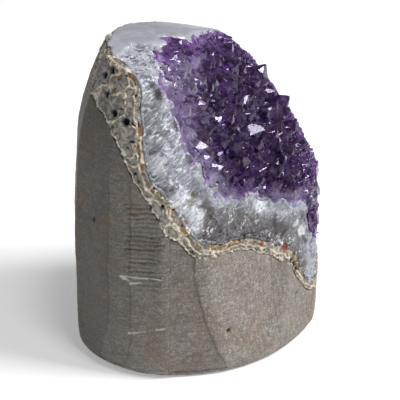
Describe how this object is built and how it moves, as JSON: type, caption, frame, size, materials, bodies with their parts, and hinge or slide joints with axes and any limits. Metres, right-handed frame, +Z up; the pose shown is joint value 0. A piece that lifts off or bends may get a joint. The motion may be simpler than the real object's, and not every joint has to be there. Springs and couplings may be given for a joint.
{
  "type": "amethyst druse",
  "caption": "Free-standing amethyst druse with a sawn flat base: a ground basalt column whose slanting face is a bed of violet points on white quartz.",
  "frame": {"origin": "middle of the base, on the surface that the stone stands on", "axes": "+Z up, the bed of points faces -Y and upwards, +X to the right as seen from the bed's side"},
  "size_m": [0.0994, 0.0892, 0.1167],
  "materials": {
    "basalt": "matte",
    "agate": "matte",
    "quartz": "satin",
    "amethyst": "gloss"
  },
  "bodies": {
    "root": {"basalt_host": "basalt", "agate_rind": "agate", "milky_quartz": "quartz", "amethyst_crust": "amethyst"}
  },
  "joints": []
}
